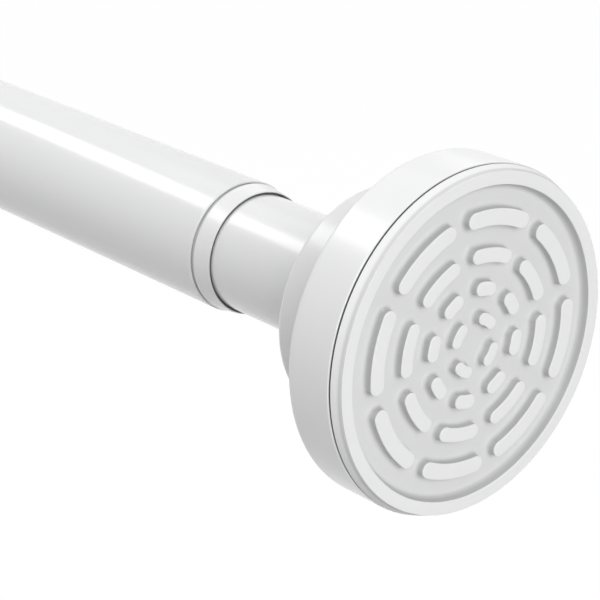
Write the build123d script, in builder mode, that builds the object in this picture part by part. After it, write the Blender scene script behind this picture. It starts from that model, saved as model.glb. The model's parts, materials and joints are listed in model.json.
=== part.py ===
"""Extendable shower curtain rod: two steel tubes, a lock inside them and a cushioned cup at each end.

The rod lies along +X with +Z up, in millimetres. The origin is the centre of the contact plane of
the outer tube's end, and that end faces -X. Everything is placed by its station along X, or by its
depth, which is measured inward from the contact plane of the end that the piece belongs to.
"""

import math
import os

from build123d import *

# Clearances
running_gap = 0.08  # radius, a shaft that turns or slides in its hole
loose_gap = 0.3  # curved faces that pass each other
seat_gap = 0.05  # radius, a plug pushed into a tube or a pin in its hole
end_float = 0.1  # along the rod, faces that turn on each other

# Tubes
inner_tube_radius = 14.3
inner_tube_wall = 0.6
inner_tube_length = 880.0
outer_tube_wall = 0.6
outer_tube_length = 1030.0
bare_length = 38.1  # inner tube seen at rest, from the collar's mouth to the free end's neck

# Collar on the outer tube's mouth, whose sleeve fills the room between the tubes
collar_nose = 5.1
collar_drop = 0.3  # the nose starts this far below the tube's surface
collar_mouth_wall = 0.4
collar_shadow_gap = 0.9
collar_sleeve = 18.0
collar_sleeve_wall = 0.75

# End cups
cup_radius = 39.5
cup_back_depth = 15.6
neck_radius = 27.0
neck_back_depth = 33.8
cup_edge = 0.7
skin_wall = 2.4
socket_wall = 2.4
lip_depth = 3.0
lip_wall = 1.4
pad_seat_depth = 5.5
web_back_depth = 12.0
rib_count = 6
rib_thickness = 2.0

# Rubber pads
pad_inset = 0.2  # the pad's radius inside the cup's
pad_edge = 0.5
pad_flange_depth = 2.6
rim_width = 3.9
tread_depth = 2.3
bar_corner = 1.0
tread_counts = [8, 8, 8, 4]  # bars in each ring, from the outermost ring inward
tread_ring_radii = [28.4, 20.1, 12.65, 6.0]
tread_bar_widths = [3.7, 3.3, 3.2, 2.7]
tread_bar_lengths = [18.5, 11.9, 5.9, 5.6]  # along the ring
tread_turns = [12.4, 12.4, 12.4, 34.9]  # degrees from the first bar of a ring to the upright

# End plugs and pivot screws
plug_length = 22.0
plug_hub_radius = 7.5
plug_fin_count = 6
plug_fin_thickness = 2.4
screw_head_radius = 6.5  # to the corners
screw_head_height = 3.0
screw_shoulder_radius = 4.0
screw_thread_radius = 2.2
screw_thread_length = 12.0
pivot_washer_radius = 7.0
washer_thickness = 1.0

# Lock nut in the inner tube's inner end, and the glide ring that it carries
nut_length = 18.0
nut_nose = 2.5
glide_ring_width = 7.0
glide_ring_slit = 2.0

# Lock spindle
spindle_radius = 6.0
spindle_flange_radius = 12.0
spindle_flange_thickness = 3.0
shank_radius = 5.0
thread_lead = 4.0
thread_turns = 5
nut_rest_gap = 1.0
stop_nut_radius = 10.4  # to the corners
stop_nut_thickness = 7.0
tip_length = 3.0
clip_radius = 7.5
clip_groove_radius = 4.0
clip_thickness = 1.0
clip_slot = 6.0

# Expander: a cone that wedges a slotted sleeve in the outer tube
spring_length = 26.0
spring_radius = 9.5
spring_wire = 2.4
spring_coils = 5
spring_sides = 12
spring_end_gap = 0.45  # the wire slopes, so its middle line starts this much further from each end
cone_length = 18.0
cone_large_radius = 12.0
cone_small_radius = 9.0
cone_reach = 5.0  # the cone stands out of the sleeve by this at rest
cone_sides = 8  # its flats key it to the fingers, two to a finger
sleeve_length = 36.0
sleeve_hub = 10.0
sleeve_slot = 2.0
sleeve_slots = 4
sleeve_slot_length = 24.0
drag_ring_width = 3.0
drag_ring_depth = 1.2

# Radii
inner_bore_radius = inner_tube_radius - inner_tube_wall
collar_bore_radius = inner_tube_radius + loose_gap
collar_sleeve_radius = collar_bore_radius + collar_sleeve_wall
outer_bore_radius = collar_sleeve_radius + seat_gap
outer_tube_radius = outer_bore_radius + outer_tube_wall
collar_radius = outer_tube_radius - collar_drop
collar_mouth_radius = collar_bore_radius + collar_mouth_wall
glide_radius = outer_bore_radius - loose_gap
pad_radius = cup_radius - pad_inset
pad_spigot_radius = cup_radius - lip_wall - seat_gap
pivot_hole_radius = screw_shoulder_radius + running_gap
shank_hole_radius = shank_radius + running_gap

# Stations along the rod
tube_end_depth = web_back_depth + end_float + washer_thickness
outer_tube_start = tube_end_depth
outer_tube_end = outer_tube_start + outer_tube_length
collar_back = outer_tube_end + collar_shadow_gap
collar_mouth = collar_back + collar_nose
free_face = collar_mouth + bare_length + neck_back_depth
inner_tube_end = free_face - tube_end_depth
inner_tube_start = inner_tube_end - inner_tube_length
glide_room = glide_ring_width + 2 * end_float
nut_front = inner_tube_start - glide_room - nut_nose
nut_back = inner_tube_start + nut_length
thread_travel = thread_lead * thread_turns
spindle_flange_back = nut_front - nut_rest_gap
spindle_flange_front = spindle_flange_back - spindle_flange_thickness
spring_front = spindle_flange_front - spring_length
cone_tip = spring_front - cone_length
sleeve_back = spring_front - cone_reach
sleeve_front = sleeve_back - sleeve_length
clip_back = sleeve_front - end_float
clip_front = clip_back - clip_thickness
shank_end = clip_front - tip_length
stop_nut_front = nut_back + thread_travel + nut_rest_gap
spindle_end = stop_nut_front + stop_nut_thickness + tip_length

os.makedirs("parts", exist_ok=True)


def finish(piece, name):
    """Label a finished piece and write its file."""
    piece.label = name
    export_step(piece, f"parts/{name}.step")


def lengthwise(face, inward):
    """The plane that holds the rod's axis: local x is the depth from an end's face, local y the radius."""
    return Plane(origin=(face, 0, 0), x_dir=(inward, 0, 0), z_dir=(0, 0, inward))


def across(station, inward=1):
    """A plane across the rod at a station. Its normal points inward from the end that it serves."""
    return Plane(origin=(station, 0, 0), x_dir=(0, 1, 0), z_dir=(inward, 0, 0))


def turn_profile(points, plane=Plane.XY):
    """Revolve a closed outline of (station or depth, radius) points about the rod's axis."""
    with BuildSketch(plane) as outline:
        with BuildLine():
            Polyline(*points, close=True)
        make_face()
    revolve(outline.sketch, axis=Axis.X)


def drill(plane, radius, depth):
    """Cut a round pocket from a plane along its normal."""
    with BuildSketch(plane) as hole:
        Circle(radius)
    extrude(hole.sketch, amount=depth, mode=Mode.SUBTRACT)


def end_cup(name, face, inward, tube_radius):
    """Moulded cup: a wide disc that holds the pad, a neck, and a ribbed socket for the tube inside."""
    socket_radius = tube_radius + loose_gap
    boss_radius = socket_radius + socket_wall
    rib_back_depth = cup_back_depth - skin_wall
    with BuildPart() as cup:
        turn_profile(
            [
                (lip_depth, 0),
                (lip_depth, cup_radius),
                (cup_back_depth - cup_edge, cup_radius),
                (cup_back_depth, cup_radius - cup_edge),
                (cup_back_depth, neck_radius),
                (neck_back_depth - cup_edge, neck_radius),
                (neck_back_depth, neck_radius - cup_edge),
                (neck_back_depth, 0),
            ],
            lengthwise(face, inward),
        )
        drill(across(face + inward * lip_depth, inward), cup_radius - lip_wall, pad_seat_depth - lip_depth)
        with BuildSketch(across(face + inward * pad_seat_depth, inward)):
            Circle(cup_radius - skin_wall)
            Circle(boss_radius, mode=Mode.SUBTRACT)
            with PolarLocations(0, rib_count):
                Rectangle(
                    cup_radius,
                    rib_thickness,
                    align=(Align.MIN, Align.CENTER),
                    mode=Mode.SUBTRACT,
                )
        extrude(amount=rib_back_depth - pad_seat_depth, mode=Mode.SUBTRACT)
        with BuildSketch(across(face + inward * rib_back_depth, inward)):
            Circle(neck_radius - skin_wall)
            Circle(boss_radius, mode=Mode.SUBTRACT)
            with PolarLocations(0, rib_count):
                Rectangle(
                    neck_radius,
                    rib_thickness,
                    align=(Align.MIN, Align.CENTER),
                    mode=Mode.SUBTRACT,
                )
        extrude(amount=neck_back_depth - skin_wall - rib_back_depth, mode=Mode.SUBTRACT)
        drill(across(face + inward * web_back_depth, inward), socket_radius, neck_back_depth - web_back_depth)
        drill(across(face + inward * pad_seat_depth, inward), pivot_hole_radius, web_back_depth - pad_seat_depth)
        drill(
            across(face + inward * pad_seat_depth, inward),
            screw_head_radius + loose_gap,
            screw_head_height + 2 * end_float,
        )
    finish(cup.part, name)


def ring_point(radius, angle):
    """Point of a sketch at a radius and an angle in degrees."""
    return (radius * math.cos(math.radians(angle)), radius * math.sin(math.radians(angle)))


def tread_bar(radius, width, length, middle_angle):
    """Outline of one bar: two arcs about the pad's centre, joined by blunt ends with cut corners."""
    outer_radius = radius + width / 2
    inner_radius = radius - width / 2
    corner_angle = math.degrees(bar_corner / radius)
    end_angle = math.degrees(length / 2 / radius)
    arc_angle = end_angle - corner_angle
    with BuildLine() as outline:
        for arc_radius in (outer_radius, inner_radius):
            CenterArc((0, 0), arc_radius, middle_angle - arc_angle, 2 * arc_angle)
        for side in (-1, 1):
            Polyline(
                ring_point(outer_radius, middle_angle + side * arc_angle),
                ring_point(outer_radius - bar_corner, middle_angle + side * end_angle),
                ring_point(inner_radius + bar_corner, middle_angle + side * end_angle),
                ring_point(inner_radius, middle_angle + side * arc_angle),
            )
    make_face(outline.line)


def end_pad(name, face, inward):
    """Rubber pad: a flat rim, a sunk floor, and rings of raised bars that end flush with the rim."""
    with BuildPart() as pad:
        turn_profile(
            [
                (tread_depth, 0),
                (tread_depth, pad_radius - rim_width),
                (0, pad_radius - rim_width),
                (0, pad_radius - pad_edge),
                (pad_edge, pad_radius),
                (pad_flange_depth, pad_radius),
                (pad_flange_depth, pad_spigot_radius),
                (pad_seat_depth, pad_spigot_radius),
                (pad_seat_depth, 0),
            ],
            lengthwise(face, inward),
        )
        with BuildSketch(across(face + inward * tread_depth, inward)):
            for count, radius, width, length, turn in zip(
                tread_counts, tread_ring_radii, tread_bar_widths, tread_bar_lengths, tread_turns
            ):
                for bar in range(count):
                    tread_bar(radius, width, length, turn + 360 * bar / count)
        extrude(amount=-tread_depth)
    finish(pad.part, name)


def end_plug(name, face, inward, bore_radius):
    """Finned plug in the tube's end, with a hexagonal hub that takes the pivot screw."""
    with BuildPart() as plug:
        with BuildSketch(across(face + inward * tube_end_depth, inward)):
            RegularPolygon(plug_hub_radius, 6)
            with PolarLocations(0, plug_fin_count):
                Rectangle(outer_tube_radius, plug_fin_thickness, align=(Align.MIN, Align.CENTER))
            Circle(bore_radius - seat_gap, mode=Mode.INTERSECT)
        extrude(amount=plug_length)
        drill(
            across(face + inward * tube_end_depth, inward),
            screw_thread_radius + seat_gap,
            screw_thread_length + end_float,
        )
    finish(plug.part, name)


def pivot_screw(name, face, inward):
    """Shoulder screw: its hexagonal head turns in the cup's pocket and its thread holds the plug."""
    head_depth = pad_seat_depth + end_float
    shoulder_depth = head_depth + screw_head_height
    with BuildPart() as screw:
        with BuildSketch(across(face + inward * head_depth, inward)):
            RegularPolygon(screw_head_radius, 6)
        extrude(amount=screw_head_height)
        turn_profile(
            [
                (shoulder_depth, 0),
                (shoulder_depth, screw_shoulder_radius),
                (tube_end_depth, screw_shoulder_radius),
                (tube_end_depth, screw_thread_radius),
                (tube_end_depth + screw_thread_length, screw_thread_radius),
                (tube_end_depth + screw_thread_length, 0),
            ],
            lengthwise(face, inward),
        )
    finish(screw.part, name)


def pivot_washer(name, face, inward):
    """Washer between the cup's web and the plug, on the screw's shoulder."""
    with BuildPart() as washer:
        with BuildSketch(across(face + inward * (web_back_depth + end_float), inward)):
            Circle(pivot_washer_radius)
            Circle(screw_shoulder_radius + seat_gap, mode=Mode.SUBTRACT)
        extrude(amount=washer_thickness)
    finish(washer.part, name)


def rod_end(side, face, inward, tube_radius, bore_radius):
    """The five pieces of one end, from the pad inward."""
    end_pad(f"{side}_end_pad", face, inward)
    end_cup(f"{side}_end_cup", face, inward, tube_radius)
    pivot_screw(f"{side}_pivot_screw", face, inward)
    pivot_washer(f"{side}_pivot_washer", face, inward)
    end_plug(f"{side}_end_plug", face, inward, bore_radius)


rod_end("outer", 0.0, 1, outer_tube_radius, outer_bore_radius)
rod_end("inner", free_face, -1, inner_tube_radius, inner_bore_radius)


# Outer tube
with BuildPart() as outer_tube:
    with BuildSketch(across(outer_tube_start)):
        Circle(outer_tube_radius)
        Circle(outer_bore_radius, mode=Mode.SUBTRACT)
    extrude(amount=outer_tube_length)
finish(outer_tube.part, "outer_tube")


# Collar: a tapered nose in front of the tube's edge and a sleeve inside it that guides the inner tube
with BuildPart() as tube_collar:
    turn_profile(
        [
            (outer_tube_end - collar_sleeve, collar_bore_radius),
            (outer_tube_end - collar_sleeve, collar_sleeve_radius),
            (collar_back, collar_sleeve_radius),
            (collar_back, collar_radius),
            (collar_mouth, collar_mouth_radius),
            (collar_mouth, collar_bore_radius),
        ]
    )
finish(tube_collar.part, "tube_collar")


# Inner tube
with BuildPart() as inner_tube:
    with BuildSketch(across(inner_tube_start)):
        Circle(inner_tube_radius)
        Circle(inner_bore_radius, mode=Mode.SUBTRACT)
    extrude(amount=inner_tube_length)
finish(inner_tube.part, "inner_tube")


# Lock nut: a plug in the tube's inner end, with a journal and a nose that keep the glide ring
with BuildPart() as lock_nut:
    turn_profile(
        [
            (nut_front, spindle_radius + running_gap),
            (nut_front, inner_tube_radius),
            (nut_front + nut_nose, inner_tube_radius),
            (nut_front + nut_nose, inner_bore_radius - seat_gap),
            (nut_back, inner_bore_radius - seat_gap),
            (nut_back, spindle_radius + running_gap),
        ]
    )
finish(lock_nut.part, "lock_nut")


# Glide ring, split so that it snaps over the nut's nose
with BuildPart() as glide_ring:
    with BuildSketch(across(inner_tube_start - end_float, -1)):
        Circle(glide_radius)
        Circle(inner_bore_radius - seat_gap + running_gap, mode=Mode.SUBTRACT)
        Rectangle(glide_radius, glide_ring_slit, align=(Align.MIN, Align.CENTER), mode=Mode.SUBTRACT)
    extrude(amount=glide_ring_width)
finish(glide_ring.part, "glide_ring")


# Lock spindle: threaded rod, flange, and the shank that carries the expander
with BuildPart() as lock_spindle:
    turn_profile(
        [
            (shank_end, 0),
            (shank_end, shank_radius),
            (clip_front, shank_radius),
            (clip_front, clip_groove_radius),
            (clip_back, clip_groove_radius),
            (clip_back, shank_radius),
            (spindle_flange_front, shank_radius),
            (spindle_flange_front, spindle_flange_radius),
            (spindle_flange_back, spindle_flange_radius),
            (spindle_flange_back, spindle_radius),
            (spindle_end, spindle_radius),
            (spindle_end, 0),
        ]
    )
finish(lock_spindle.part, "lock_spindle")


# Stop nut on the spindle's tip, which ends the lock nut's travel
with BuildPart() as stop_nut:
    with BuildSketch(across(stop_nut_front)):
        RegularPolygon(stop_nut_radius, 6)
        Circle(spindle_radius + seat_gap, mode=Mode.SUBTRACT)
    extrude(amount=stop_nut_thickness)
finish(stop_nut.part, "stop_nut")


# Retaining clip in the shank's groove, which keeps the expander on the spindle
with BuildPart() as spindle_clip:
    with BuildSketch(across(clip_front)):
        Circle(clip_radius)
        Circle(clip_groove_radius + seat_gap, mode=Mode.SUBTRACT)
        Rectangle(clip_radius, clip_slot, align=(Align.MIN, Align.CENTER), mode=Mode.SUBTRACT)
    extrude(amount=clip_thickness)
finish(spindle_clip.part, "spindle_clip")


flat_rise = (cone_large_radius - cone_small_radius) * math.cos(math.pi / cone_sides)
cone_taper = math.degrees(math.atan(flat_rise / cone_length))


def wedge(front, radius, length, taper=0.0, mode=Mode.ADD):
    """The cone's flat-sided form, which widens from a station. The radius is to the corners."""
    with BuildSketch(across(front)) as section:
        RegularPolygon(radius, cone_sides)
    extrude(section.sketch, amount=length, taper=-taper, mode=mode)


# Expander cone, with flats that key it to the sleeve's fingers
with BuildPart() as expander_cone:
    wedge(cone_tip, cone_small_radius, cone_length, cone_taper)
    drill(across(cone_tip), shank_hole_radius, cone_length)
finish(expander_cone.part, "expander_cone")


# Expander sleeve: a hub on the shank and four fingers that the cone spreads
hub_back = sleeve_front + sleeve_hub
groove_front = sleeve_front + (sleeve_hub - drag_ring_width) / 2
with BuildPart() as expander_sleeve:
    turn_profile(
        [
            (sleeve_front, shank_hole_radius),
            (sleeve_front, glide_radius),
            (groove_front, glide_radius),
            (groove_front, glide_radius - drag_ring_depth),
            (groove_front + drag_ring_width, glide_radius - drag_ring_depth),
            (groove_front + drag_ring_width, glide_radius),
            (sleeve_back, glide_radius),
            (sleeve_back, shank_hole_radius),
        ]
    )
    wedge(hub_back, cone_small_radius + seat_gap, cone_tip - hub_back, mode=Mode.SUBTRACT)
    wedge(cone_tip, cone_small_radius + seat_gap, sleeve_back - cone_tip, cone_taper, Mode.SUBTRACT)
    with BuildSketch(across(sleeve_back, -1)):
        for turn in range(sleeve_slots):
            Rectangle(
                outer_tube_radius,
                sleeve_slot,
                rotation=turn * 360 / sleeve_slots,
                align=(Align.MIN, Align.CENTER),
            )
    extrude(amount=sleeve_slot_length, mode=Mode.SUBTRACT)
finish(expander_sleeve.part, "expander_sleeve")


# Drag ring: a square rubber ring that stops the sleeve from turning in the tube
with BuildPart() as drag_ring:
    with BuildSketch(across(groove_front)):
        Circle(glide_radius + loose_gap / 2)
        Circle(glide_radius - drag_ring_depth, mode=Mode.SUBTRACT)
    extrude(amount=drag_ring_width)
finish(drag_ring.part, "drag_ring")


# Tension spring, wound from square wire between the cone and the spindle's flange
def spring_point(step):
    """Point of the wire's middle line: it turns evenly and advances evenly, clear of both end faces."""
    share = step / (spring_coils * spring_sides)
    angle = 2 * math.pi * spring_coils * share
    first = spring_wire / 2 + spring_end_gap
    station = spring_front + first + share * (spring_length - 2 * first)
    return (station, spring_radius * math.cos(angle), spring_radius * math.sin(angle))


spring_points = [spring_point(step) for step in range(spring_coils * spring_sides + 1)]
with BuildPart() as tension_spring:
    with BuildLine() as wire_line:
        Polyline(*spring_points)
    with BuildSketch(Plane(origin=wire_line.line @ 0, x_dir=(1, 0, 0), z_dir=wire_line.line % 0)):
        Rectangle(spring_wire, spring_wire)
    sweep(transition=Transition.RIGHT)
finish(tension_spring.part, "tension_spring")
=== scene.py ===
"""Dresses the extendable shower curtain rod: coated tubes, moulded cups and collar, treaded rubber pads.

Lengths are in metres and the rod lies along +X, as in the frame. A depth is measured inward from the
contact plane of an end. Every new piece is a surface worked out on a grid of two parameters.
"""

import json
import math

import bmesh
import bpy
import numpy as np
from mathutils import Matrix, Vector


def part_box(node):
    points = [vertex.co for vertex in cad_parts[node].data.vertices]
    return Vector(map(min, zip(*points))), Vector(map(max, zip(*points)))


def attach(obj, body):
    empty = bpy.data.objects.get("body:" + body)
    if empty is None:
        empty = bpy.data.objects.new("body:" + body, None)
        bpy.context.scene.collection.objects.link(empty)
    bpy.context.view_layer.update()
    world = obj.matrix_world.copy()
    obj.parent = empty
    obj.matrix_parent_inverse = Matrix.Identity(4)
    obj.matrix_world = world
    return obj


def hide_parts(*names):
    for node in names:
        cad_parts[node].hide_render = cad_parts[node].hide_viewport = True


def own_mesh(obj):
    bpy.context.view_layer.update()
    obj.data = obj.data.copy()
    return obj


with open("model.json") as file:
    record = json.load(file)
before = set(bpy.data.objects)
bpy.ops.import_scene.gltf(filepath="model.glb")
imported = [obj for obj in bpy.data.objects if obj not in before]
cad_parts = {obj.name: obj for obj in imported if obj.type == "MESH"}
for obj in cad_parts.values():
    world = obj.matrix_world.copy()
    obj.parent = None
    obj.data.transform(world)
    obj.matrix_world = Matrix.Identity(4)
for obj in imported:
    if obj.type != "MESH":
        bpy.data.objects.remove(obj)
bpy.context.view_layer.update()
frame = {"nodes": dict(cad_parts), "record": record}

mm = 0.001

# Sizes that the solids' boxes don't give
tube_wall = 0.6 * mm
tube_edge = 0.28 * mm
socket_gap = 0.3 * mm
seat_gap = 0.05 * mm
lip_depth = 3.0 * mm
lip_wall = 1.4 * mm
pad_seat_depth = 5.5 * mm
cup_back_depth = 15.6 * mm
neck_radius = 27.0 * mm
skin_wall = 2.4 * mm
socket_wall = 2.4 * mm
web_back_depth = 12.0 * mm
pivot_hole_radius = 4.08 * mm
head_pocket_radius = 6.8 * mm
head_pocket_depth = 8.7 * mm
rib_count = 6
rib_thickness = 2.0 * mm
rib_bite = 0.3 * mm  # how far a rib runs into the walls round it

pad_flange_depth = 2.6 * mm
rim_width = 3.9 * mm
rim_step = 0.95 * mm
rim_step_depth = 0.3 * mm
side_lean = 0.9 * mm
rim_slope = 0.6 * mm
tread_depth = 2.3 * mm
tread_turn = 12.4  # degrees
tread_rings = (  # bars, radius of the ring, width and length of a bar, extra turn in degrees
    (8, 28.4 * mm, 3.7 * mm, 18.5 * mm, 0.0),
    (8, 20.1 * mm, 3.3 * mm, 11.9 * mm, 0.0),
    (8, 12.65 * mm, 3.2 * mm, 5.9 * mm, 0.0),
    (4, 6.0 * mm, 2.7 * mm, 5.6 * mm, 22.5),
)
bar_edge = 0.22 * mm
bar_foot = 1.1 * mm
bar_foot_height = 0.7 * mm
bar_sunk = 0.4 * mm  # how far a bar runs into the pad's floor

collar_nose = 5.1 * mm
collar_mouth_wall = 0.4 * mm
collar_lip = 0.15 * mm  # how far the lip at the mouth narrows the bore
collar_lip_length = 0.5 * mm

screw_head_radius = 6.5 * mm  # to the corners
screw_head_height = 3.0 * mm
screw_shoulder_radius = 4.0 * mm
screw_thread_radius = 2.2 * mm
screw_thread_pitch = 1.0 * mm
shank_sunk = 0.2 * mm  # how far the shank runs into the head
thread_run_in = 0.5 * mm  # plain length at either end of a thread
end_float = 0.1 * mm
washer_thickness = 1.0 * mm

shank_radius = 5.0 * mm
clip_groove_radius = 4.0 * mm
spindle_radius = 6.0 * mm
spindle_tip = 0.8 * mm
flange_thickness = 3.0 * mm
nut_rest_gap = 1.0 * mm  # between the flange and the lock nut
thread_lead = 4.0 * mm
nut_bore_radius = 6.05 * mm

spring_radius = 9.5 * mm
spring_wire = 2.4 * mm
spring_wire_edge = 0.4 * mm
spring_coils = 5
spring_end_gap = 0.45 * mm
spring_stroke = 8.0 * mm

# Shape of a thread, as shares of its pitch
thread_depth = 0.22
groove_half = 0.32  # half the groove's width at the crest
flank_width = 0.14

# Shape of a hexagonal head or nut
corner_share = 0.985  # where its corners are cut, as a share of their radius
cone_start = 0.99  # the cone's radius at an end face, as a share of the apothem
cone_slope = 1.3
cone_length = 0.8  # as a share of the corners' height over the flats

# Fineness
round_steps = 7  # points on a rounded corner
edge_share = 0.48  # the most of an edge that a rounding takes
guard_share = 0.49  # the furthest along an edge that a guard point lies
widest_guard = 0.25 * mm
rod_segments = 192  # steps round a turned piece
disc_segments = 256  # steps round a cup or a pad
thread_rows = 12  # rows for each turn of a thread
coil_steps = 72  # steps along each coil of the spring
bar_steps = 17  # points round each end and along each side of a bar
merge_distance = 1e-7
sliver_length = 1e-8
sharp_angle = math.radians(40)


def node_span(name):
    """Lowest and highest station of a solid along the rod, and its largest radius."""
    low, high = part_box(name)
    return low[0], high[0], max(high[1], high[2])


# Profiles

def rounded(corners):
    """Outline points for (station, radius, corner rounding) triples.

    At a corner the two edges are left at the distance t = rounding * tan(turn / 2) from it, and an arc of
    that radius joins them, so its points are centre + rounding * (cos a, sin a). Two guard points a little
    outside the arc keep the shading of the flats apart from it.
    """
    points = np.array([corner[:2] for corner in corners])
    outline = []
    for index, (_, _, rounding) in enumerate(corners):
        here = points[index]
        if rounding == 0:
            outline.append(here[None])
            continue
        before = points[index - 1] - here
        after = points[(index + 1) % len(points)] - here
        before_length, after_length = np.linalg.norm(before), np.linalg.norm(after)
        before, after = before / before_length, after / after_length
        half_opening = math.acos(np.clip(before @ after, -1, 1)) / 2
        setback = min(
            rounding / math.tan(half_opening), edge_share * before_length, edge_share * after_length
        )
        radius = setback * math.tan(half_opening)
        middle = (before + after) / np.linalg.norm(before + after)
        centre = here + middle * radius / math.sin(half_opening)
        start, end = here + before * setback - centre, here + after * setback - centre
        turn = math.atan2(start[0] * end[1] - start[1] * end[0], start @ end)
        angles = np.linspace(0, turn, round_steps)[:, None]
        arc = centre + np.cos(angles) * start + np.sin(angles) * np.array([-start[1], start[0]])
        guard = min(widest_guard, 0.01 * min(before_length, after_length) + 0.5 * radius)
        first = here + before * min(setback + guard, guard_share * before_length)
        last = here + after * min(setback + guard, guard_share * after_length)
        outline.append(np.vstack([first, arc, last]))
    return np.vstack(outline)


# Meshes

def grid_faces(grid, rows_close):
    """Quads between neighbouring points of a grid (rows, columns, 3). Its columns close on themselves."""
    rows, columns = grid.shape[:2]
    index = np.arange(rows * columns).reshape(rows, columns)
    down = np.roll(index, -1, 0)
    quads = np.stack([index, down, np.roll(down, -1, 1), np.roll(index, -1, 1)], -1)
    return (quads if rows_close else quads[:-1]).reshape(-1, 4)


def new_piece(name, rings=(), bodies=()):
    """Mesh object made of grids of points.

    A ring's rows close on themselves too. A body's first and last rows are each drawn together to a point
    or a line. Points that meet are merged, and the faces turned outward.
    """
    grids = [(grid, True) for grid in rings] + [(grid, False) for grid in bodies]
    starts = np.cumsum([0] + [grid.shape[0] * grid.shape[1] for grid, _ in grids])
    points = np.vstack([grid.reshape(-1, 3) for grid, _ in grids])
    faces = np.vstack([grid_faces(grid, closes) + start for (grid, closes), start in zip(grids, starts)])
    mesh = bpy.data.meshes.new(name)
    mesh.vertices.add(len(points))
    mesh.vertices.foreach_set("co", points.ravel())
    mesh.loops.add(faces.size)
    mesh.loops.foreach_set("vertex_index", faces.ravel().astype(np.int32))
    mesh.polygons.add(len(faces))
    mesh.polygons.foreach_set("loop_start", np.arange(0, faces.size, 4, dtype=np.int32))
    mesh.update(calc_edges=True)
    work = bmesh.new()
    work.from_mesh(mesh)
    bmesh.ops.remove_doubles(work, verts=work.verts, dist=merge_distance)
    bmesh.ops.dissolve_degenerate(work, edges=work.edges, dist=sliver_length)
    bmesh.ops.recalc_face_normals(work, faces=work.faces)
    work.to_mesh(mesh)
    work.free()
    mesh.shade_smooth()
    mesh.set_sharp_from_angle(angle=sharp_angle)
    piece = bpy.data.objects.new(name, mesh)
    bpy.context.scene.collection.objects.link(piece)
    return piece


def steps_round(segments):
    """Even angles round the rod."""
    return np.linspace(0, 2 * np.pi, segments, endpoint=False)


def around(station, radius, angle):
    """Points (station, r cos t, r sin t), with a row for each station and a column for each angle t."""
    across = radius * np.cos(angle)
    return np.stack([np.broadcast_to(station, across.shape), across, radius * np.sin(angle)], -1)


def turned(outline, segments=rod_segments):
    """Surface of revolution about the rod's axis, with a row for each (station, radius) of an outline."""
    return around(outline[:, :1], outline[:, 1:], steps_round(segments))


def threaded(start, end, crest, pitch):
    """Thread between two stations as rows for a turned piece.

    The radius is crest - depth * g(p), with the phase p = (x - start) / pitch - angle / 2 pi. g is 1 in the
    groove, 0 on the crest, and slopes between them. It dies away over one pitch at either end.
    """
    depth = thread_depth * pitch
    rows = thread_rows * round((end - start) / pitch)
    station = np.linspace(start, end, rows)[:, None]
    angle = steps_round(rod_segments)
    phase = (station - start) / pitch - angle / (2 * np.pi)
    from_groove = np.abs(phase % 1 - 0.5)
    groove = np.clip((groove_half - from_groove) / flank_width, 0, 1)
    fade = np.clip(np.minimum(station - start, end - station) / pitch, 0, 1)
    return around(station, crest - depth * groove * fade, angle)


def hexagonal(start, end, corner_radius):
    """Rows of a hexagonal head or nut whose corners are turned off at both ends.

    The radius is the smaller of the hexagon's, apothem / cos(angle from the nearest flat's middle), and a
    cone's, which grows from a little under the apothem at each end face.
    """
    apothem = corner_radius * math.cos(math.pi / 6)
    turned_off = cone_length * (corner_radius - apothem)
    angle = steps_round(rod_segments)
    flat = np.minimum(apothem / np.cos((angle % (np.pi / 3)) - np.pi / 6), corner_share * corner_radius)
    rise = np.array([0, turned_off / 2, turned_off])
    station = np.concatenate([start + rise, end - rise[::-1]])[:, None]
    from_end = np.minimum(station - start, end - station)
    return around(station, np.minimum(flat, cone_start * apothem + cone_slope * from_end), angle)


class End:
    """One end of the rod: its contact plane's station and the direction inward along the rod."""

    def __init__(self, side, tube):
        low, high, radius = node_span(f"{side}_end_pad")
        self.side = side
        self.inward = 1 if low < 0.1 else -1
        self.face = low if self.inward == 1 else high
        self.pad_radius = radius
        low, high, self.cup_radius = node_span(f"{side}_end_cup")
        self.neck_back_depth = (high - self.face) if self.inward == 1 else (self.face - low)
        self.tube_radius = node_span(tube)[2]

    def outline(self, corners):
        """Rounded outline of (depth, radius, rounding) corners, as stations."""
        points = rounded(corners)
        return np.column_stack([self.face + self.inward * points[:, 0], points[:, 1]])

    def placed(self, grid):
        """Grid whose stations are depths, brought to this end."""
        return grid * (self.inward, 1, self.inward) + (self.face, 0, 0)


# Pieces

body_of_node = {
    node: body for body, nodes in frame["record"]["behaviour"]["bodies"].items() for node in nodes
}
slot_of_node = {part["node"]: part["material_slot"] for part in frame["record"]["subparts"]}


def dress(piece, node, material):
    """Give a new piece its finish, set it on its body and let it stand for its solid."""
    piece.data.materials.append(material)
    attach(piece, body_of_node[node])
    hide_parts(node)


def make_tube(name, material):
    """Tube with a thin wall and slightly rounded ends."""
    start, end, radius = node_span(name)
    corners = [
        (start, radius - tube_wall, tube_edge),
        (start, radius, tube_edge),
        (end, radius, tube_edge),
        (end, radius - tube_wall, tube_edge),
    ]
    piece = new_piece(f"{name}_surface", rings=[turned(rounded(corners))])
    dress(piece, name, material)


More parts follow.
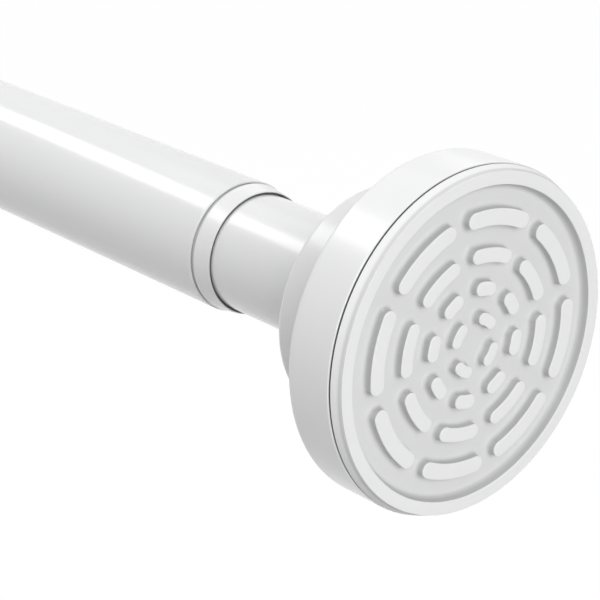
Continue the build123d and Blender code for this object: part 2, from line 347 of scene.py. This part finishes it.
def make_collar(material):
    """Collar: a tapered nose in front of the tube's edge, a lip at its mouth, a sleeve in the tube."""
    start, mouth, radius = node_span("tube_collar")
    bore = node_span("inner_tube")[2] + socket_gap
    sleeve = node_span("outer_tube")[2] - tube_wall - seat_gap
    shoulder = mouth - collar_nose
    corners = [
        (start, bore, 0.2 * mm),
        (start, sleeve, 0.2 * mm),
        (shoulder, sleeve, 0.05 * mm),
        (shoulder, radius, 0.4 * mm),
        (mouth, bore + collar_mouth_wall, 0.15 * mm),
        (mouth, bore - collar_lip, 0.06 * mm),
        (mouth - collar_lip_length, bore - collar_lip, 0.05 * mm),
        (mouth - collar_lip_length - collar_lip, bore, 0.05 * mm),
    ]
    piece = new_piece("collar_surface", rings=[turned(rounded(corners))])
    dress(piece, "tube_collar", material)


def rib_grid(end, angle, boss_radius):
    """One rib of the cup as a closed slab: a stepped outline in depth and radius, given its thickness."""
    rib_back = cup_back_depth - skin_wall
    neck_floor = end.neck_back_depth - skin_wall
    outline = np.array(
        [
            (pad_seat_depth, boss_radius - rib_bite),
            (pad_seat_depth, end.cup_radius - skin_wall + rib_bite),
            (rib_back + rib_bite, end.cup_radius - skin_wall + rib_bite),
            (rib_back + rib_bite, neck_radius - skin_wall + rib_bite),
            (neck_floor + rib_bite, neck_radius - skin_wall + rib_bite),
            (neck_floor + rib_bite, boss_radius - rib_bite),
        ]
    )
    half = rib_thickness / 2
    along = np.array([math.cos(angle), math.sin(angle)])
    beside = np.array([-along[1], along[0]])
    middle = np.tile(outline.mean(0), (len(outline), 1))
    layers = []
    for ring, offset in ((middle, -half), (outline, -half), (outline, half), (middle, half)):
        station = end.face + end.inward * ring[:, :1]
        layers.append(np.hstack([station, ring[:, 1:] * along + offset * beside]))
    return np.stack(layers)


def make_cup(end, material):
    """Moulded cup: disc, neck, ribbed hollow, tube socket and screw pocket, all one closed wall."""
    socket = end.tube_radius + socket_gap
    boss = socket + socket_wall
    rib_back = cup_back_depth - skin_wall
    neck_floor = end.neck_back_depth - skin_wall
    corners = [
        (lip_depth, end.cup_radius - lip_wall, 0.2 * mm),
        (lip_depth, end.cup_radius, 0.25 * mm),
        (cup_back_depth, end.cup_radius, 1.0 * mm),
        (cup_back_depth, neck_radius, 1.2 * mm),
        (end.neck_back_depth, neck_radius, 1.5 * mm),
        (end.neck_back_depth, socket, 0.35 * mm),
        (web_back_depth, socket, 0.2 * mm),
        (web_back_depth, pivot_hole_radius, 0.1 * mm),
        (head_pocket_depth, pivot_hole_radius, 0.1 * mm),
        (head_pocket_depth, head_pocket_radius, 0.2 * mm),
        (pad_seat_depth, head_pocket_radius, 0.2 * mm),
        (pad_seat_depth, boss, 0.2 * mm),
        (neck_floor, boss, 0.4 * mm),
        (neck_floor, neck_radius - skin_wall, 0.4 * mm),
        (rib_back, neck_radius - skin_wall, 0.3 * mm),
        (rib_back, end.cup_radius - skin_wall, 0.4 * mm),
        (pad_seat_depth, end.cup_radius - skin_wall, 0.1 * mm),
        (pad_seat_depth, end.cup_radius - lip_wall, 0.1 * mm),
    ]
    ribs = [rib_grid(end, 2 * math.pi * rib / rib_count, boss) for rib in range(rib_count)]
    wall = turned(end.outline(corners), disc_segments)
    piece = new_piece(f"{end.side}_cup_surface", rings=[wall], bodies=ribs)
    dress(piece, f"{end.side}_end_cup", material)


def bar_grid(end, radius, width, length, middle_angle):
    """One raised bar of the tread.

    Its plan is a slot about a middle arc: point = arc(p) + w * (cos q, sin q), where p runs between the
    ends of the arc and q turns half a circle round each of them. Its rings change w with the height: a
    small flare at the foot, an upright wall, and a rounded edge that closes on the middle arc.
    """
    half = width / 2
    turn = np.linspace(0, np.pi / 2, round_steps)
    widths = np.concatenate(
        [
            [0, half + bar_foot],
            half + bar_foot * (1 - np.sin(turn)),
            half - bar_edge * (1 - np.cos(turn)),
            [half - 2 * bar_edge, 0],
        ]
    )
    heights = np.concatenate(
        [
            [-bar_sunk, -bar_sunk],
            bar_foot_height * (1 - np.cos(turn)),
            tread_depth - bar_edge * (1 - np.sin(turn)),
            [tread_depth, tread_depth],
        ]
    )
    half_sweep = (length - width) / 2 / radius
    whole = np.ones(bar_steps)
    round_end = np.linspace(0, np.pi, bar_steps)
    straight = np.linspace(-half_sweep, half_sweep, bar_steps + 2)[1:-1]
    outward = np.pi / 2
    place = np.concatenate([half_sweep * whole, -straight, -half_sweep * whole, straight])
    lean = np.concatenate([outward - round_end, -outward * whole, -outward - round_end, outward * whole])
    tangential = widths[:, None] * np.cos(lean)
    radial = radius + widths[:, None] * np.sin(lean)
    angle = middle_angle + place
    first = radial * np.cos(angle) - tangential * np.sin(angle)
    second = radial * np.sin(angle) + tangential * np.cos(angle)
    depth = np.broadcast_to(tread_depth - heights[:, None], first.shape)
    return np.stack([end.face + end.inward * depth, first, end.inward * second], -1)


def make_pad(end, material):
    """Rubber pad: a turned disc with a raised rim, and the rings of bars on its sunk floor."""
    spigot = end.cup_radius - lip_wall - seat_gap
    rim_inner = end.pad_radius - rim_width
    corners = [
        (tread_depth, 0, 0),
        (tread_depth, rim_inner - rim_slope, 1.2 * mm),
        (0, rim_inner, 0.22 * mm),
        (0, end.pad_radius - rim_step, 0.2 * mm),
        (rim_step_depth, end.pad_radius - rim_step, 0.12 * mm),
        (rim_step_depth, end.pad_radius - side_lean, 0.15 * mm),
        (pad_flange_depth, end.pad_radius, 0.15 * mm),
        (pad_flange_depth, spigot, 0.1 * mm),
        (pad_seat_depth, spigot, 0.3 * mm),
        (pad_seat_depth, 0, 0),
    ]
    bars = [
        bar_grid(end, radius, width, length, math.radians(tread_turn + extra_turn + 360 * bar / count))
        for count, radius, width, length, extra_turn in tread_rings
        for bar in range(count)
    ]
    disc = turned(end.outline(corners), disc_segments)
    piece = new_piece(f"{end.side}_pad_surface", bodies=[disc] + bars)
    dress(piece, f"{end.side}_end_pad", material)


def make_screw(end, material):
    """Pivot screw: hexagonal head, shoulder that the cup turns on, and a thread in the plug."""
    name = f"{end.side}_pivot_screw"
    head, tip = sorted(abs(station - end.face) for station in node_span(name)[:2])
    shoulder = head + screw_head_height
    thread = web_back_depth + end_float + washer_thickness
    head_grid = np.vstack(
        [
            turned(np.array([(head, 0)])),
            hexagonal(head, shoulder, screw_head_radius),
            turned(np.array([(shoulder, 0)])),
        ]
    )
    front = rounded(
        [
            (shoulder - shank_sunk, 0, 0),
            (shoulder - shank_sunk, screw_shoulder_radius, 0.1 * mm),
            (thread, screw_shoulder_radius, 0.3 * mm),
            (thread, screw_thread_radius, 0.1 * mm),
            (thread + thread_run_in, screw_thread_radius, 0),
        ]
    )
    thread_end = tip - thread_run_in
    back = rounded(
        [(thread_end, screw_thread_radius, 0), (tip, screw_thread_radius, 0.4 * mm), (tip, 0, 0)]
    )
    shank_grid = np.vstack(
        [
            turned(front),
            threaded(thread + thread_run_in, thread_end, screw_thread_radius, screw_thread_pitch),
            turned(back),
        ]
    )
    piece = new_piece(f"{name}_surface", bodies=[end.placed(head_grid), end.placed(shank_grid)])
    dress(piece, name, material)


def make_spindle(material):
    """Lock spindle: shank with the clip's groove, flange, and a coarse thread up to the stop nut."""
    start, end, flange_radius = node_span("lock_spindle")
    clip_front, clip_back, _ = node_span("spindle_clip")
    flange_back = node_span("lock_nut")[0] - nut_rest_gap
    flange_front = flange_back - flange_thickness
    front = rounded(
        [
            (start, 0, 0),
            (start, shank_radius, 0.6 * mm),
            (clip_front, shank_radius, 0.1 * mm),
            (clip_front, clip_groove_radius, 0.1 * mm),
            (clip_back, clip_groove_radius, 0.1 * mm),
            (clip_back, shank_radius, 0.1 * mm),
            (flange_front, shank_radius, 0.3 * mm),
            (flange_front, flange_radius, 0.4 * mm),
            (flange_back, flange_radius, 0.4 * mm),
            (flange_back, spindle_radius, 0.3 * mm),
            (flange_back + thread_run_in, spindle_radius, 0),
        ]
    )
    back = rounded([(end - spindle_tip, spindle_radius, 0), (end, spindle_radius, 0.7 * mm), (end, 0, 0)])
    grid = np.vstack(
        [
            turned(front),
            threaded(flange_back + thread_run_in, end - spindle_tip, spindle_radius, thread_lead),
            turned(back),
        ]
    )
    dress(new_piece("lock_spindle_surface", bodies=[grid]), "lock_spindle", material)


def make_stop_nut(material):
    """Hexagonal stop nut with its corners turned off."""
    low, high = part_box("stop_nut")
    bore = turned(np.array([(low[0], nut_bore_radius)]))
    far_bore = turned(np.array([(high[0], nut_bore_radius)]))
    grid = np.vstack([bore, hexagonal(low[0], high[0], high[1]), far_bore])
    dress(new_piece("stop_nut_surface", rings=[grid]), "stop_nut", material)


def make_spring(material):
    """Tension spring of square wire.

    Its middle line is (x0 + s * length, r cos a, r sin a) with a = 2 pi * coils * s. A rounded square is
    carried along it on the radial direction and on the one square to that and to the wire.
    """
    front = node_span("expander_cone")[1]
    back = node_span("lock_nut")[0] - nut_rest_gap - flange_thickness
    inset = spring_wire / 2 + spring_end_gap
    share = np.linspace(0, 1, coil_steps * spring_coils + 1)[:, None]
    angle = 2 * np.pi * spring_coils * share
    radial = np.hstack([0 * angle, np.cos(angle), np.sin(angle)])
    station = front + inset + share * (back - front - 2 * inset)
    path = spring_radius * radial + np.hstack([station, 0 * angle, 0 * angle])
    tangent = np.gradient(path, axis=0)
    tangent /= np.linalg.norm(tangent, axis=1, keepdims=True)
    beside = np.cross(tangent, radial)
    half = spring_wire / 2
    corners = ((-half, -half), (half, -half), (half, half), (-half, half))
    square = rounded([(*corner, spring_wire_edge) for corner in corners])
    wire = path[:, None] + square[:, :1] * radial[:, None] + square[:, 1:] * beside[:, None]
    ends = np.ones((1, len(square), 1))
    grid = np.vstack([path[:1, None] * ends, wire, path[-1:, None] * ends])
    piece = new_piece("tension_spring_surface", bodies=[grid])
    piece.data.materials.append(material)
    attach(piece, body_of_node["expander_cone"])
    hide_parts("tension_spring")
    1 - spring_stroke / (back - front)
    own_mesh(piece)


# Materials

rod_length = node_span("inner_end_pad")[1]
# Painted shade laid into the seams of the pads and cups
painted_seam_shade = (0.15, 0.15, 0.155)
# Painted shade, darker still, laid into the collar's bore
painted_bore_shade = (0.03, 0.03, 0.032)


class Term:
    """A socket of a tree's nodes. Arithmetic on terms and numbers adds Math nodes."""

    def __init__(self, nodes, socket):
        self.nodes = nodes
        self.socket = socket

    def math(self, operation, *values):
        return self.nodes.add("ShaderNodeMath", {"operation": operation}, dict(enumerate(values)))

    def larger(self, other):
        return self.math("MAXIMUM", self, other)

    def __add__(self, other):
        return self.math("ADD", self, other)

    def __sub__(self, other):
        return self.math("SUBTRACT", self, other)

    def __rsub__(self, other):
        return self.math("SUBTRACT", other, self)

    def __abs__(self):
        return self.math("ABSOLUTE", self)

    def __pow__(self, other):
        return self.math("POWER", self, other)

    def __rpow__(self, other):
        return self.math("POWER", other, self)

    def __mul__(self, other):
        return self.math("MULTIPLY", self, other)

    def __truediv__(self, other):
        return self.math("DIVIDE", self, other)

    def __rtruediv__(self, other):
        return self.math("DIVIDE", other, self)

    __radd__ = __add__
    __rmul__ = __mul__


class Nodes:
    """The nodes of a material or of the world, with its own shader at hand."""

    def __init__(self, owner, shader="Principled BSDF"):
        owner.use_nodes = True
        self.owner = owner
        self.tree = owner.node_tree
        self.shader = self.tree.nodes[shader]

    def add(self, kind, settings=None, sockets=None, output=0):
        """Add a node: its settings first, then the values or links of its sockets. Returns an output."""
        node = self.tree.nodes.new(kind)
        for key, value in (settings or {}).items():
            setattr(node, key, value)
        for key, value in (sockets or {}).items():
            self.feed(node.inputs[key], value)
        return Term(self, node.outputs[output])

    def feed(self, socket, value):
        """Link a term to a socket, or write a number or colour on it."""
        if isinstance(value, Term):
            self.tree.links.new(value.socket, socket)
        else:
            socket.default_value = value

    def surface(self, **values):
        """Set the shader's sockets by name, with underscores for spaces."""
        for key, value in values.items():
            self.feed(self.shader.inputs[key.replace("_", " ")], value)

    def place(self, scale=(1, 1, 1)):
        """Object coordinates, stretched by a scale."""
        coordinates = self.add("ShaderNodeTexCoord", output="Object")
        return self.add("ShaderNodeMapping", sockets={"Vector": coordinates, "Scale": scale})

    def noise(self, scale, detail=2.0, stretch=(1, 1, 1)):
        """Noise between 0 and 1 with a number of swells for each metre."""
        return self.add(
            "ShaderNodeTexNoise",
            sockets={"Vector": self.place(stretch), "Scale": scale, "Detail": detail},
        )

    def blend_colour(self, factor, first, second):
        """Colour that goes from the first to the second with a factor. Each is a term or (r, g, b)."""
        first, second = (each if isinstance(each, Term) else (*each, 1) for each in (first, second))
        return self.add("ShaderNodeMix", {"data_type": "RGBA"}, {0: factor, 6: first, 7: second}, output=2)

    def rise(self, value, start, end):
        """0 where the value is at or before the start, 1 from the end on, and a smooth step between."""
        return self.add(
            "ShaderNodeMapRange",
            {"interpolation_type": "SMOOTHSTEP"},
            {"Value": value, "From Min": start, "From Max": end},
        )

    def station_and_radius(self):
        """Station along the rod and distance from its axis, in millimetres."""
        coordinates = self.add("ShaderNodeTexCoord", output="Object")
        station, across, up = (
            self.add("ShaderNodeSeparateXYZ", sockets={0: coordinates}, output=axis) / mm
            for axis in range(3)
        )
        return station, (across ** 2 + up ** 2) ** 0.5

    def depth_and_radius(self):
        """Distance from the nearer end's contact plane and from the axis, in millimetres."""
        station, radius = self.station_and_radius()
        half = rod_length / 2 / mm
        return half - abs(station - half), radius

    def bump(self, height, distance):
        """Normal of a surface raised by height times distance in metres."""
        return self.add(
            "ShaderNodeBump",
            sockets={"Height": height, "Distance": distance, "Strength": 1.0},
        )


def coated_steel(name, roughness, coat_roughness, coat):
    """Glossy white coating: a faint orange peel, and a little variation of tone and gloss along it."""
    nodes = Nodes(bpy.data.materials.new(name))
    cloud = nodes.noise(14, stretch=(0.35, 1, 1))
    peel = nodes.noise(420, 1.0)
    fine = nodes.noise(1600, 1.0)
    nodes.surface(
        Base_Color=nodes.blend_colour(cloud, (0.790, 0.792, 0.795), (0.815, 0.816, 0.818)),
        Roughness=roughness + 0.05 * cloud,
        Normal=nodes.bump(0.7 * peel + 0.3 * fine, 0.012 * mm),
        Coat_Roughness=coat_roughness,
        Coat_Weight=coat,
    )
    return nodes.owner


def white_moulding(name, seam, shade):
    """Satin white plastic with a fine spark texture from its mould, and painted shade in a seam."""
    nodes = Nodes(bpy.data.materials.new(name))
    cloud = nodes.noise(38)
    grain = nodes.noise(2600)
    unshaded_colour = nodes.blend_colour(cloud, (0.800, 0.801, 0.803), (0.825, 0.826, 0.828))
    nodes.surface(
        # Painted shade: where the mask is 1 the colour turns to the dark shade
        Base_Color=nodes.blend_colour(seam(nodes), unshaded_colour, shade),
        Roughness=0.27 + 0.07 * cloud + 0.05 * grain,
        Normal=nodes.bump(grain, 0.006 * mm),
        Coat_Roughness=0.16,
        Coat_Weight=0.7,
    )
    return nodes.owner


def cup_painted_shade(nodes):
    """Mask of painted shade: 1 in the recess behind the pad's edge, inside the lip."""
    depth, radius = nodes.depth_and_radius()
    lip = node_span("inner_end_cup")[2] / mm
    seat = pad_seat_depth / mm
    recess = 1 - nodes.rise(depth, seat - 0.1, seat + 0.1)
    return recess * nodes.rise(radius, lip - 0.2, lip - 0.5)


def collar_painted_shade(nodes):
    """Mask of painted shade: 1 in the collar's bore, and less in the narrow gap between its nose and the
    tube's edge.
    """
    station, radius = nodes.station_and_radius()
    bore = (node_span("inner_tube")[2] + socket_gap) / mm
    shoulder = (node_span("tube_collar")[1] - collar_nose) / mm
    bore_painted_shade = nodes.rise(radius, bore + 0.3, bore + 0.12)
    gap_painted_shade = 0.34 * nodes.rise(station, shoulder + 0.4, shoulder - 0.1)
    return bore_painted_shade.larger(gap_painted_shade)


def pad_rubber():
    """Matte white rubber: lightest on rim and bars' tips, with painted shade on the sunk floor and the
    bars' walls.

    Painted shade darkens the rim's step, the pad's side and the seam behind the flange. The bounds of each
    rise are millimetres of depth or of radius.
    """
    nodes = Nodes(bpy.data.materials.new("matte_white_rubber"))
    depth, radius = nodes.depth_and_radius()
    cloud = nodes.noise(60)
    grain = nodes.noise(3400, 3.0)
    edge = node_span("inner_end_pad")[2] / mm
    rim = edge - rim_width / mm
    step = edge - rim_step / mm
    side = edge - side_lean / mm
    flange = pad_flange_depth / mm

    # Painted shade: darker colours on the bars' walls and the sunk floor, for the shade in the tread
    wall = nodes.blend_colour(nodes.rise(depth, 0.6, 1.9), (0.530, 0.531, 0.534), (0.600, 0.601, 0.604))
    floor = nodes.blend_colour(grain, (0.770, 0.771, 0.774), (0.800, 0.801, 0.804))
    sunk = nodes.blend_colour(nodes.rise(depth, 1.9, 2.42), wall, floor)
    in_tread = nodes.rise(depth, 0.1, 0.35) * nodes.rise(radius, rim + 0.6, rim + 0.2)

    # Painted shade: a grey line on the rim's step and a dark line in the seam behind the flange
    step_side = nodes.rise(radius, step - 0.2, step + 0.05) * nodes.rise(radius, step + 0.45, step + 0.15)
    step_painted_shade = 0.3 * step_side * nodes.rise(depth, 0.0, 0.08)
    seam_painted_shade = nodes.rise(depth, flange - 0.12, flange)

    unshaded_colour = nodes.blend_colour(0.7 * cloud + 0.3 * grain, (0.870, 0.871, 0.873), (0.890, 0.891, 0.893))
    # Painted shade: the pad's side a little darker than the rim
    side_painted_shade = nodes.rise(radius, side - 0.15, side) * nodes.rise(depth, 0.3, 0.5)
    outside = nodes.blend_colour(side_painted_shade, unshaded_colour, (0.830, 0.831, 0.833))
    rubber = nodes.blend_colour(in_tread, outside, sunk)
    nodes.surface(
        Base_Color=nodes.blend_colour(seam_painted_shade.larger(step_painted_shade), rubber, painted_seam_shade),
        Roughness=0.55 + 0.12 * grain,
        Normal=nodes.bump(grain, 0.014 * mm),
    )
    return nodes.owner


def plug_nylon():
    """Natural nylon as it leaves the mould: creamy, with flow clouds and a dull grain."""
    nodes = Nodes(bpy.data.materials.new("natural_nylon"))
    cloud = nodes.noise(90)
    grain = nodes.noise(2200)
    nodes.surface(
        Base_Color=nodes.blend_colour(cloud, (0.74, 0.72, 0.66), (0.80, 0.79, 0.74)),
        Roughness=0.42 + 0.12 * grain,
        Normal=nodes.bump(grain, 0.015 * mm),
    )
    return nodes.owner


def black_rubber():
    """Matte black rubber with a faint bloom."""
    nodes = Nodes(bpy.data.materials.new("matte_black_rubber"))
    bloom = nodes.noise(300, 3.0)
    nodes.surface(
        Base_Color=nodes.blend_colour(bloom, (0.018, 0.018, 0.019), (0.040, 0.040, 0.042)),
        Roughness=0.62 + 0.15 * bloom,
        Normal=nodes.bump(bloom, 0.02 * mm),
    )
    return nodes.owner


def zinc_steel():
    """Bright zinc plate with a brushed sheen across the rod and small tone spots."""
    nodes = Nodes(bpy.data.materials.new("bright_zinc_plate"))
    lines = nodes.noise(900, stretch=(6, 0.6, 0.6))
    spots = nodes.noise(240)
    nodes.surface(
        Base_Color=nodes.blend_colour(spots, (0.62, 0.63, 0.66), (0.76, 0.77, 0.78)),
        Metallic=1.0,
        Roughness=0.24 + 0.16 * lines,
        Normal=nodes.bump(lines, 0.004 * mm),
    )
    return nodes.owner


def spring_steel():
    """Oiled spring steel: dark, with drawn lines along the wire."""
    nodes = Nodes(bpy.data.materials.new("oiled_spring_steel"))
    lines = nodes.noise(700, stretch=(5, 1, 1))
    nodes.surface(
        Base_Color=nodes.blend_colour(lines, (0.20, 0.20, 0.21), (0.34, 0.34, 0.36)),
        Metallic=1.0,
        Roughness=0.30 + 0.12 * lines,
        Normal=nodes.bump(lines, 0.004 * mm),
    )
    return nodes.owner


finishes = {
    "coated_steel": coated_steel("glossy_white_coating", 0.22, 0.10, 0.5),
    "inner_coating": coated_steel("satin_white_coating", 0.32, 0.18, 1.0),
    "white_moulding": white_moulding("satin_white_moulding", cup_painted_shade, painted_seam_shade),
    "collar": white_moulding("satin_white_collar", collar_painted_shade, painted_bore_shade),
    "pad_rubber": pad_rubber(),
    "plug_nylon": plug_nylon(),
    "black_rubber": black_rubber(),
    "zinc_steel": zinc_steel(),
    "spring_steel": spring_steel(),
}


# Camera, seen from in front of the inner tube's end, above it and a little to its right

lens = 130.76
nearest_seen = 0.01
camera_offset = Vector((295.6 * mm, -305.7 * mm, 185.5 * mm))  # from the centre of that end's face
camera_azimuth = math.radians(49.08)
camera_elevation = math.radians(22.44)


def make_camera(face):
    """Camera that looks along its azimuth and elevation, with the photograph's narrow view."""
    data = bpy.data.cameras.new("camera")
    data.lens = lens
    data.clip_start = nearest_seen
    camera = bpy.data.objects.new("camera", data)
    back = Vector(
        (
            math.sin(camera_azimuth) * math.cos(camera_elevation),
            -math.cos(camera_azimuth) * math.cos(camera_elevation),
            math.sin(camera_elevation),
        )
    )
    camera.location = Vector((face, 0, 0)) + camera_offset
    camera.rotation_mode = "QUATERNION"
    camera.rotation_quaternion = (-back).to_track_quat("-Z", "Y")
    bpy.context.scene.collection.objects.link(camera)
    bpy.context.scene.camera = camera


# Studio

world_light = 0.30  # strength of the even light round the rod
floor_height = -0.75
floor_reach = 12.0
floor_colour = (0.45, 0.45, 0.45, 1)
floor_glow = 1.08
seen_white = 0.9  # how much of the floor is seen as white. The rest takes the rod's shadow


def softbox(name, location, target, size, power, spread=math.pi):
    """Area lamp of (width, height) that faces a target. A narrow spread keeps its light near the target."""
    data = bpy.data.lights.new(name, "AREA")
    data.shape = "RECTANGLE"
    data.size, data.size_y = size
    data.energy = power
    data.spread = spread
    lamp = bpy.data.objects.new(name, data)
    lamp.location = location
    lamp.rotation_mode = "QUATERNION"
    lamp.rotation_quaternion = (Vector(target) - Vector(location)).to_track_quat("-Z", "Y")
    bpy.context.scene.collection.objects.link(lamp)


def seen_directly(nodes):
    """1 for what the camera, a reflection or a clear body sees, 0 for light that falls on things."""
    by_camera, by_reflection, through_clear = (
        nodes.add("ShaderNodeLightPath", output=name)
        for name in ("Is Camera Ray", "Is Glossy Ray", "Is Transmission Ray")
    )
    return by_camera.larger(by_reflection).larger(through_clear)


def make_world():
    """White where it is seen, and an even soft light elsewhere."""
    world = bpy.data.worlds.new("studio")
    bpy.context.scene.world = world
    nodes = Nodes(world, "Background")
    strength = nodes.add(
        "ShaderNodeMapRange",
        sockets={"Value": seen_directly(nodes), "To Min": world_light, "To Max": 1.0},
    )
    nodes.surface(Color=(1, 1, 1, 1), Strength=strength)


def make_floor():
    """Plain pale floor far below the rod, seen almost white. It still takes the rod's soft shadow."""
    mesh = bpy.data.meshes.new("floor")
    signs = ((-1, -1), (1, -1), (1, 1), (-1, 1))
    corners = [(x * floor_reach, y * floor_reach, floor_height) for x, y in signs]
    mesh.from_pydata(corners, [], [(0, 1, 2, 3)])
    floor = bpy.data.objects.new("floor", mesh)
    bpy.context.scene.collection.objects.link(floor)
    nodes = Nodes(bpy.data.materials.new("pale_floor"))
    nodes.surface(Base_Color=floor_colour, Roughness=0.9)
    matte = Term(nodes, nodes.shader.outputs[0])
    glow = nodes.add("ShaderNodeEmission", sockets={"Strength": floor_glow})
    share = seen_directly(nodes) * seen_white
    seen = nodes.add("ShaderNodeMixShader", sockets={"Fac": share, 1: matte, 2: glow})
    nodes.feed(nodes.tree.nodes["Material Output"].inputs["Surface"], seen)
    mesh.materials.append(nodes.owner)


# The object

ends = (End("outer", "outer_tube"), End("inner", "inner_tube"))
free_end = ends[1]

for node_name, node in frame["nodes"].items():
    node.data.materials.clear()
    node.data.materials.append(finishes[slot_of_node[node_name]])

make_tube("outer_tube", finishes["coated_steel"])
make_tube("inner_tube", finishes["inner_coating"])
make_collar(finishes["collar"])
for rod_end in ends:
    make_cup(rod_end, finishes["white_moulding"])
    make_pad(rod_end, finishes["pad_rubber"])
    make_screw(rod_end, finishes["zinc_steel"])
make_spindle(finishes["zinc_steel"])
make_stop_nut(finishes["zinc_steel"])
make_spring(finishes["spring_steel"])

bpy.context.scene.view_settings.view_transform = "Standard"
make_camera(free_end.face)
make_world()
make_floor()

# Lamps: name, place, target, width and height, power in watts, spread
focus = (free_end.face - 0.1, 0, 0)
softbox("overhead", (free_end.face - 0.45, -0.1, 1.3), (free_end.face - 0.2, 0, 0), (2.6, 1.6), 6.4)
softbox("long_strip", (free_end.face - 0.75, -0.62, 1.05), (free_end.face - 0.3, 0, 0), (2.4, 0.34), 8.4)
softbox("face_light", (free_end.face + 1.5, -0.5, 0.55), focus, (1.4, 1.4), 21.5)
softbox("behind", (free_end.face - 0.3, 1.3, 0.9), focus, (2.0, 1.0), 4.4)
softbox("far_face_light", (-0.40, -0.42, 0.35), (0, 0, 0), (0.4, 0.4), 0.35, math.radians(40))
